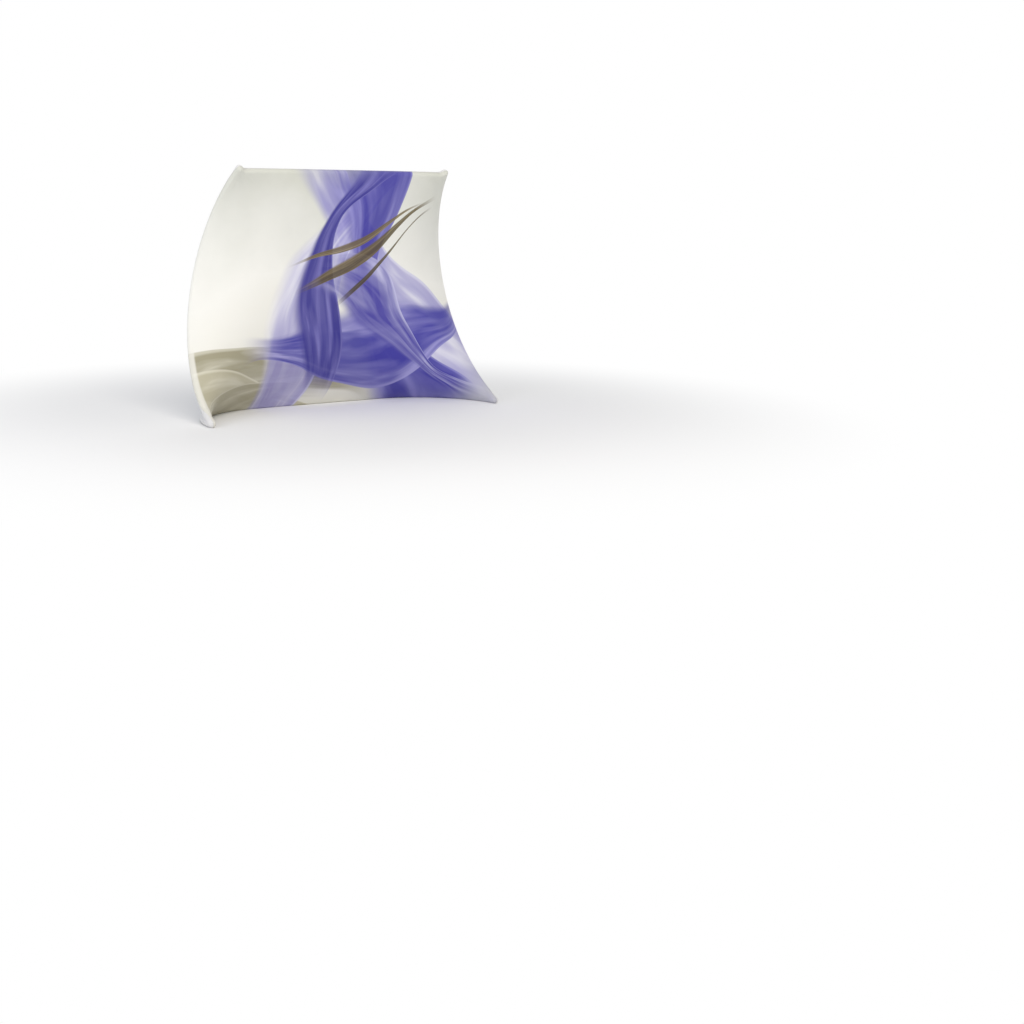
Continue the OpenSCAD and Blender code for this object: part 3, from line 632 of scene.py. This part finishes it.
def print_colour(tree, flat):
    """A print of sand, violet and brown silk that drifts over a pale wash."""
    split = add(tree, "SeparateXYZ", (flat,)).node.outputs
    cloud = {"Vector": flat, "Scale": 2.2, "Detail": 4.0, "Roughness": 0.55}
    cloud = add(tree, "TexNoise", cloud, noise_dimensions="2D")
    cloud = add(tree, "Math", (cloud, 0.5), operation="SUBTRACT")
    height = add(tree, "Math", (cloud, 0.4, split["Y"]), operation="MULTIPLY_ADD")
    share = add(tree, "Math", (height, 1.2), operation="DIVIDE")
    stops = ((0.0, "E6E4DA"), (0.25, "F2F0E7"), (0.55, "F4F3ED"), (0.78, "E4E4DD"), (1.0, "CFD0C4"))
    wash = add(tree, "ValToRGB", (share,), stops)
    # A grey haze rises at the lower right
    right = add(tree, "MapRange", (split["X"], 0.1, 0.5), interpolation_type="SMOOTHSTEP")
    low = add(tree, "MapRange", (height, 0.4, 0.12, 0, 0.8), interpolation_type="SMOOTHSTEP")
    haze = add(tree, "Math", (right, low), operation="MULTIPLY")
    wash = add(tree, "Mix", (haze, wash, colour("B4B5BB")), data_type="RGBA")
    group = silk_group()
    for middle, turn, sway, waves, start, half, reach, deep, light, strength in SILK_STRIPS:
        place = {"Vector": flat, "Location": (*middle, 0), "Rotation": (0, 0, math.radians(turn))}
        place = add(tree, "Mapping", place, vector_type="TEXTURE")
        strip = add(tree, "Group", (place, sway, waves, start, half, reach), node_tree=group).node.outputs
        # The ramp's middle stop is a quarter of the way from the deep to the light colour
        dyed = add(tree, "ValToRGB", (strip["Shade"],), ((0.4, deep), (0.55, deep), (0.77, light)))
        body = [(3 * a + b) / 4 for a, b in zip(colour(deep), colour(light))]
        dyed.node.color_ramp.elements[1].color = body
        cover = add(tree, "Math", (strip["Cover"], strength), operation="MULTIPLY")
        wash = add(tree, "Mix", (cover, wash, dyed), data_type="RGBA")
        hem = add(tree, "Math", (strip["Hem"], 0.45), operation="MULTIPLY")
        wash = add(tree, "Mix", (hem, wash, colour(light)), data_type="RGBA")
    # The silk runs out into a grey haze before the right toe
    right = add(tree, "MapRange", (split["X"], 0.68, 0.92), interpolation_type="SMOOTHSTEP")
    low = add(tree, "MapRange", (height, 0.34, 0.16, 0, 0.85), interpolation_type="SMOOTHSTEP")
    haze = add(tree, "Math", (right, low), operation="MULTIPLY")
    wash = add(tree, "Mix", (haze, wash, colour("C6C6CB")), data_type="RGBA")
    # Painted highlight: towards the left bow the lower half of the print runs out to white, standing in for the
    # light on the fabric round the lit tube
    side_in = add(tree, "Attribute", attribute_name="side_in").node.outputs["Fac"]
    edge = add(tree, "MapRange", (side_in, 0.018, 0.006, 0, 0.8), interpolation_type="SMOOTHSTEP")
    lower = add(tree, "MapRange", (split["Y"], 0.52, 0.4), interpolation_type="SMOOTHSTEP")
    left = add(tree, "MapRange", (split["X"], 0.0, -0.4), interpolation_type="SMOOTHSTEP")
    # The painted highlight's strength: near the left bow, low on the panel and on its left half
    pale = add(tree, "Math", (edge, lower), operation="MULTIPLY")
    pale = add(tree, "Math", (pale, left), operation="MULTIPLY")
    return add(tree, "Mix", (pale, wash, colour("F1EFE6")), data_type="RGBA")


def fabric(name, printed):
    """Knitted fabric with its hem and folds, printed or white."""
    material, tree, shader = new_material(name, Roughness=0.82, Sheen_Weight=0.12, Sheen_Roughness=0.5)
    shader.inputs["Specular IOR Level"].default_value = 0.25
    flat = add(tree, "UVMap", uv_map="flat_pattern")
    height, stitch = knit_bump(tree, flat)
    # The dye lies a little unevenly on the loops
    speckle = add(tree, "TexNoise", {"Vector": flat, "Scale": 1 / SPECKLE, "Detail": 2.0})
    tone = add(tree, "MapRange", (speckle, 0.3, 0.7, 0.975, 1.0), interpolation_type="SMOOTHSTEP")
    tone = add(tree, "CombineColor", (tone, tone, tone))
    if printed:
        body = print_colour(tree, flat)
    else:
        body = add(tree, "ValToRGB", (speckle,), ((0.3, "E7E6E6"), (0.7, "ECEBEA")))
    body = add(tree, "Mix", (1.0, body, tone), data_type="RGBA", blend_type="MULTIPLY")
    sewn = add(tree, "Math", (stitch, 0.35), operation="MULTIPLY")
    body = add(tree, "Mix", (sewn, body, colour("C9C6C2")), data_type="RGBA")
    tree.links.new(body, shader.inputs["Base Color"])
    bump = add(tree, "Bump", {"Height": height, "Strength": 1.0, "Distance": 1.0})
    tree.links.new(bump, shader.inputs["Normal"])
    return material


# Dye-sublimated stretch polyester: matt, with a faint nap; flowing violet silk on a pale wash
printed_fabric = fabric("printed_fabric", True)
# The same fabric left white on the back panel: matt and slightly grey in the shade
white_fabric = fabric("white_fabric", False)


def surface(name, dark, light, grain, roughness, metallic=0.0, depth=0.0, stretch=(1, 1, 1)):
    """A finish whose grain, of a width in metres, varies between two colours and in how rough it is."""
    material, tree, shader = new_material(name, Metallic=metallic)
    place = add(tree, "TexCoord").node.outputs["Object"]
    place = add(tree, "Mapping", {"Vector": place, "Scale": stretch})
    mottle = add(tree, "TexNoise", {"Vector": place, "Scale": 1 / grain, "Detail": 4.0})
    tint = add(tree, "ValToRGB", (mottle,), ((0.3, dark), (0.7, light)))
    tree.links.new(tint, shader.inputs["Base Color"])
    dull = add(tree, "MapRange", (mottle, 0.3, 0.7, *roughness), interpolation_type="SMOOTHSTEP")
    tree.links.new(dull, shader.inputs["Roughness"])
    if depth:
        tree.links.new(add(tree, "Bump", {"Height": mottle, "Distance": depth}), shader.inputs["Normal"])
    return material


# The grain of these finishes is finer than half a millimetre; it is drawn at 1 to 7 mm, so that a close
# view shows it
MATERIALS = {
    "printed_fabric": printed_fabric,
    "white_fabric": white_fabric,
    # Drawn aluminium tube, satin anodised: soft highlights with fine lines
    "tube_aluminium": surface(
        "tube_aluminium", "A9ACB0", "C3C6C9", 0.0071, (0.3, 0.42), 1.0, 0.00002, stretch=(0.2, 1, 1)
    ),
    # Swaged aluminium joining tube, left as machined: brighter and smoother than the frame
    "plug_aluminium": surface("plug_aluminium", "B6B8BA", "D2D4D5", 0.0038, (0.2, 0.34), 1.0, 0.00001),
    # Black moulded polyamide: a dull, slightly pitted skin
    "cap_plastic": surface("cap_plastic", "141415", "222224", 0.0024, (0.45, 0.6), 0.0, 0.00003),
    # Blued spring steel: dark with a blue cast
    "spring_steel": surface("spring_steel", "3C424C", "565E6C", 0.0033, (0.25, 0.4), 1.0),
    # Nickel-plated steel snap button: bright and smooth
    "button_steel": surface("button_steel", "B9B6AE", "D5D2CB", 0.0029, (0.14, 0.25), 1.0),
    # Coil of nylon monofilament: milky, with a soft gloss
    "zip_nylon": surface("zip_nylon", "DAD9D6", "ECEBE8", 0.002, (0.3, 0.42)),
    # Die-cast zinc slider with satin nickel plating: warm grey with soft highlights
    "zip_metal": surface("zip_metal", "A9A6A1", "B9B6B1", 0.0011, (0.24, 0.34), 1.0),
}

# Woven polyester zip tape: matt white with fine ribs across it, 0.7 mm apart and drawn at 1.2 mm; its colour is
# darker in the grooves between the ribs, as painted shade
RIB, RIB_DEPTH = 0.0012, 0.00012
tape_fabric, tree, shader = new_material("tape_fabric", Roughness=0.78, Sheen_Weight=0.1)
flat = add(tree, "UVMap", uv_map="flat_pattern")
rib_and_shade = add(tree, "SeparateXYZ", (flat,)).node.outputs["X"]
rib_and_shade = add(tree, "Math", (rib_and_shade, 2 * math.pi / RIB), operation="MULTIPLY")
rib_and_shade = add(tree, "Math", (rib_and_shade,), operation="SINE")
rib_and_shade = add(tree, "MapRange", (rib_and_shade, -1.0, 1.0), interpolation_type="SMOOTHSTEP")
# Painted shade: the rib height darkens the colour in the grooves and lightens it on the ribs
tree.links.new(add(tree, "ValToRGB", (rib_and_shade,), ((0.0, "DCDAD7"), (1.0, "ECEAE7"))), shader.inputs["Base Color"])
tree.links.new(add(tree, "Bump", {"Height": rib_and_shade, "Distance": RIB_DEPTH}), shader.inputs["Normal"])

for row in frame["record"]["subparts"]:
    node = frame["nodes"][row["node"]]
    node.data.materials.clear()
    node.data.materials.append(MATERIALS[row["material_slot"]])

# The two panels of the cover

tubes = ["base_mid", "base_left", "base_right", "side_lower_left", "side_lower_right", "side_upper_left"]
tubes += ["side_upper_right", "top_left", "top_right", "toe_stub_left", "toe_stub_right"]
# Each panel is cut 3 per cent smaller each way than the shape it is stretched over
for name, face, slot in (("cover_front", 1, "printed_fabric"), ("cover_back", -1, "white_fabric")):
    cloth = panel(name + "_fabric", face)
    cloth.data.materials.append(MATERIALS[slot])
    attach(cloth, "frame")
    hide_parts(name)

# Zip teeth: one small block for each turn of the coil, repeated round the bow

# A row's height over the tube's centreline, its sides from the zip's middle, and its own height
TEETH_LOW, TEETH_IN, TEETH_OUT, TEETH_TALL = TUBE_R + 0.0024, 0.0006, 0.0024, 0.0024
TOOTH_PITCH, TOOTH_FILL, TOOTH_EDGE = 0.0016, 0.72, 0.0004
STOP_LEN = 0.004
ZIP_LOW = share_dir(ZIP_LOW_ROW / (2 * NET_V)) + STOP_LEN * BOW_TURN
ZIP_HIGH = share_dir(ZIP_HIGH_ROW / (2 * NET_V)) - STOP_LEN * BOW_TURN


def tooth_frame(turn):
    """Across the zip towards the front panel, along it towards the toe, and out of the tube."""
    lift, along = zip_out(turn), np.cross(bow_away(turn), OUT_DIR)
    return np.cross(along, lift), along, lift


def teeth_row(name, side):
    """One side's teeth, from the lower to the upper stop."""
    bpy.ops.object.select_all(action="DESELECT")
    bpy.ops.mesh.primitive_cube_add(size=1)
    tooth = bpy.context.active_object
    tooth.name = name
    tooth.scale = (TEETH_OUT - TEETH_IN, TOOTH_PITCH * TOOTH_FILL, TEETH_TALL)
    bpy.ops.object.transform_apply(location=False, rotation=False, scale=True)
    bpy.ops.object.mode_set(mode="EDIT")
    bpy.ops.mesh.select_all(action="SELECT")
    bpy.ops.mesh.bevel(offset=TOOTH_EDGE, segments=1, affect="EDGES")
    bpy.ops.object.mode_set(mode="OBJECT")
    pitch = TOOTH_PITCH * BOW_TURN
    across, along, lift = tooth_frame(ZIP_LOW + pitch / 2)
    at = bow_point(ZIP_LOW + pitch / 2) - BOW_CENTRE
    at = at + (TEETH_LOW + TEETH_TALL / 2) * lift + side * (TEETH_IN + TEETH_OUT) / 2 * across
    turned = Matrix([[*row, 0] for row in np.array([across, along, lift]).T.tolist()] + [[0, 0, 0, 1]])
    tooth.data.transform(Matrix.Translation(Vector(at)) @ turned)
    tooth.location = Vector(BOW_CENTRE)
    step = bpy.data.objects.new(name + "_step", None)
    bpy.context.scene.collection.objects.link(step)
    onward = Matrix.Rotation(math.radians(pitch), 4, Vector(OUT_DIR))
    step.matrix_world = Matrix.Translation(Vector(BOW_CENTRE)) @ onward
    rows = tooth.modifiers.new("repeat", "ARRAY")
    rows.use_relative_offset = False
    rows.use_object_offset = True
    rows.offset_object = step
    rows.count = int((ZIP_HIGH - ZIP_LOW) / pitch)
    bpy.context.view_layer.update()
    bpy.ops.object.modifier_apply(modifier="repeat")
    bpy.ops.object.transform_apply(location=True, rotation=True, scale=True)
    bpy.ops.object.shade_smooth_by_angle(angle=math.radians(40))
    bpy.data.objects.remove(step)
    tooth.data.materials.append(MATERIALS["zip_nylon"])
    return tooth


def round_tube(turn, angle, radius):
    """A point over the right bow's tube, angle degrees from the zip towards the front panel."""
    across, _, lift = tooth_frame(turn)
    a = math.radians(angle)
    return bow_point(turn) + radius * (math.cos(a) * lift + math.sin(a) * across)


def zip_tape(name, side):
    """Half of the zip's tape: from under the panel's edge up to the teeth."""
    turns = np.linspace(TAPE_LOW, TAPE_HIGH, TAPE_ROWS)
    hidden = np.linspace(TAPE_REACH, TAPE_RISE, TAPE_STEPS)
    rise = np.linspace(0, 1, TAPE_STEPS)[1:]
    edge = math.degrees(math.atan2(TEETH_OUT, TEETH_LOW))
    grids = []
    for low, high in ((TAPE_IN + TAPE_THICK, TEETH_LOW + TAPE_THICK), (TAPE_IN, TEETH_LOW)):
        angles = np.concatenate([hidden, TAPE_RISE + (edge - TAPE_RISE) * rise])
        radii = np.concatenate([np.full(TAPE_STEPS, low), low + (math.hypot(TEETH_OUT, high) - low) * rise])
        grids.append(np.array([[round_tube(t, side * a, r) for a, r in zip(angles, radii)] for t in turns]))
    across, along = runs(grids[0][0]), runs(grids[0][:, -1])
    uv = np.stack(np.broadcast_arrays(along[:, None], across[None]), axis=-1)
    piece = strip_piece(name, *grids, uv, uv[..., 0], uv[..., 1] + PAST_HEM)
    piece.data.materials.append(tape_fabric)
    return piece


def zip_patch(name, start):
    """Rounded patch of the cover's fabric, sewn over one end of the zip."""
    half_long, half_wide, corner = PATCH_LONG / 2, math.radians(PATCH_HALF) * PATCH_OUT, PATCH_CORNER

    def past_corner(x, y):
        return np.maximum(np.abs(x) - half_long + corner, 0), np.maximum(np.abs(y) - half_wide + corner, 0)

    rows, cols = (np.linspace(-half, half, n) for half, n in zip((half_long, half_wide), PATCH_GRID))
    x, y = np.meshgrid(rows, cols, indexing="ij")
    dx, dy = past_corner(x, y)
    shrink = np.maximum(dx, dy) / np.maximum(np.hypot(dx, dy), 1e-9)
    turned = (dx > 0) & (dy > 0)
    x = np.where(turned, np.sign(x) * (half_long - corner + dx * shrink), x)
    y = np.where(turned, np.sign(y) * (half_wide - corner + dy * shrink), y)
    dx, dy = past_corner(x, y)
    sides = np.minimum(half_long - np.abs(x), half_wide - np.abs(y))
    inset = np.where(turned, corner - np.hypot(dx, dy), sides)
    turns, angles = start + (half_long + x) * BOW_TURN, np.degrees(y / PATCH_OUT)
    grids = [
        np.array([[round_tube(t, a, radius) for t, a in zip(*row)] for row in zip(turns, angles)])
        for radius in (PATCH_OUT, PATCH_IN)
    ]
    hem = np.where(inset < PATCH_HEM, inset, PAST_HEM)
    piece = strip_piece(name, *grids, np.stack([x, y], axis=-1), x + y, hem)
    piece.data.materials.append(MATERIALS["white_fabric"])
    return piece


# Tape, 10 mm wide on each side; its outer half lies between tube and panel, where it is sewn on, and its
# ends under the patches. From TAPE_RISE, just outside the slit, it rises to the teeth
TAPE_REACH, TAPE_RISE = 44.0, ZIP_HALF + 2
TAPE_IN, TAPE_THICK, TAPE_OVER = 0.0154, 0.0006, 0.003
TAPE_ROWS, TAPE_STEPS = 241, 5
TAPE_LOW = ZIP_LOW - (STOP_LEN + TAPE_OVER) * BOW_TURN
TAPE_HIGH = ZIP_HIGH + (STOP_LEN + TAPE_OVER) * BOW_TURN
# A patch: its length, half its width in degrees, its faces' radii, its corners, hem and grid of points
PATCH_LONG, PATCH_HALF, PATCH_IN, PATCH_OUT = 0.08, 34.0, 0.0174, 0.01795
PATCH_CORNER, PATCH_HEM, PATCH_GRID = 0.004, 0.0065, (81, 23)
made = []
for part, side in (("front", 1), ("back", -1)):
    made.append((teeth_row("zip_teeth_" + part + "_coil", side), "zip_teeth_" + part, "zip_nylon"))
    made.append((zip_tape("zip_tape_" + part + "_woven", side), "zip_tape_" + part, "white_fabric"))
for part in ("lower", "upper"):
    low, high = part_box("zip_patch_" + part)
    middle = np.array((low + high) / 2) - BOW_CENTRE
    turn = math.degrees(math.atan2(middle @ BACK_DIR, -(middle @ RISE_DIR)))
    start = turn - PATCH_LONG / 2 * BOW_TURN
    made.append((zip_patch("zip_patch_" + part + "_sewn", start), "zip_patch_" + part, "white_fabric"))
for piece, node, slot in made:
    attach(piece, "frame")
    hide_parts(node)

# Leaf springs: one piece at each button, with rounded edges, attached to the frame

LEAF_GAP, LEAF_EDGE = 0.00005, 0.00015  # what a pressed leaf leaves below its button, and its rounded edges
bpy.ops.object.select_all(action="DESELECT")
leaf = bpy.data.objects.new("button_leaf", frame["nodes"]["button_springs"].data.copy())
bpy.context.scene.collection.objects.link(leaf)
bpy.context.view_layer.objects.active = leaf
leaf.select_set(True)
bpy.ops.object.mode_set(mode="EDIT")
bpy.ops.mesh.select_all(action="SELECT")
bpy.ops.mesh.remove_doubles(threshold=1e-6)
bpy.ops.mesh.separate(type="LOOSE")
bpy.ops.object.mode_set(mode="OBJECT")
leaves = {piece: np.array([v.co[:] for v in piece.data.vertices]) for piece in bpy.context.selected_objects}
for joint in [j for j in frame["joints"] if j["name"].endswith("_press")]:
    low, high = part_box(joint["child"])
    middle, inward = np.array((low + high) / 2), np.array(joint["axis"])
    leaf = min(leaves, key=lambda piece: np.linalg.norm(leaves[piece].mean(axis=0) - middle))
    points = leaves.pop(leaf)
    leaf.name = joint["child"] + "_leaf"
    reach = points @ inward
    foot = points[reach.argmax()]
    edge = leaf.modifiers.new("edge", "BEVEL")
    edge.width, edge.segments = LEAF_EDGE, 2
    edge.limit_method, edge.angle_limit = "ANGLE", math.radians(50)
    bpy.context.view_layer.objects.active = leaf
    bpy.ops.object.modifier_apply(modifier="edge")
    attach(leaf, "frame")
    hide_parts("button_springs")
    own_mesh(leaf)

# Floor, light and camera

bpy.ops.object.select_all(action="DESELECT")
bpy.ops.mesh.primitive_plane_add(size=60, location=(0, 0, 0))
floor = bpy.context.active_object
floor.name = "floor"
# Pale matt floor: it takes the object's shadow near it, and glows into the white backdrop farther out
GLOW_START, GLOW_FULL = 0.9, 2.6
floor_paint, tree, shader = new_material("floor_paint", Roughness=0.9)
shader.inputs["Base Color"].default_value = colour("F4F4F4")
place = add(tree, "TexCoord").node.outputs["Object"]
away = add(tree, "VectorMath", (place,), operation="LENGTH")
far = add(tree, "MapRange", (away, GLOW_START, GLOW_FULL), interpolation_type="SMOOTHSTEP")
glow = add(tree, "Emission", {"Color": colour("FFFFFF"), "Strength": 1.0})
blend = add(tree, "MixShader", (far, shader.outputs[0], glow))
tree.links.new(blend, tree.nodes["Material Output"].inputs["Surface"])
floor.data.materials.append(floor_paint)

world = bpy.data.worlds.new("studio")
bpy.context.scene.world = world
world.use_nodes = True
tree = world.node_tree
sky = tree.nodes["Background"]
sky.inputs["Color"].default_value = colour("F2F4F8")
sky.inputs["Strength"].default_value = 0.5
backdrop = add(tree, "Background", {"Color": colour("FFFFFF"), "Strength": 1.0})
# The camera's rays, and those that metal or glass turns, see a white backdrop
path = add(tree, "LightPath").node.outputs
seen = add(tree, "Math", (path["Is Camera Ray"], path["Is Glossy Ray"]), operation="MAXIMUM")
seen = add(tree, "Math", (seen, path["Is Transmission Ray"]), operation="MAXIMUM")
both = add(tree, "MixShader", (seen, sky.outputs[0], backdrop))
tree.links.new(both, tree.nodes["World Output"].inputs["Surface"])


def lamp(name, place, target, size, power, tint):
    light = bpy.data.lights.new(name, "AREA")
    light.shape, light.size, light.energy, light.color = "SQUARE", size, power, colour(tint)[:3]
    thing = bpy.data.objects.new(name, light)
    thing.location = place
    thing.rotation_euler = (Vector(target) - Vector(place)).to_track_quat("-Z", "Y").to_euler()
    bpy.context.scene.collection.objects.link(thing)


lamp("key", (-1.2, -4.2, 4.6), (0, 0, 0.5), 3.5, 170, "FFFAF2")
lamp("back", (2.6, 4.6, 3.6), (0, 0, 0.5), 3.5, 55, "F6F8FF")
lamp("side", (-4.5, -1.0, 2.2), (0, 0, 0.6), 2.5, 40, "F4F7FF")

# The camera stands where the photograph's stood
view = bpy.data.cameras.new("camera")
view.lens, view.sensor_width, view.shift_x = 44.82, 36, 0.1613
camera = bpy.data.objects.new("camera", view)
camera.location = (-3.0638, -5.3740, 0.9069)
camera.rotation_euler = (math.radians(90 - 12.963), 0, math.radians(-30.031))
bpy.context.scene.collection.objects.link(camera)
bpy.context.scene.camera = camera
bpy.context.scene.view_settings.view_transform = "Standard"
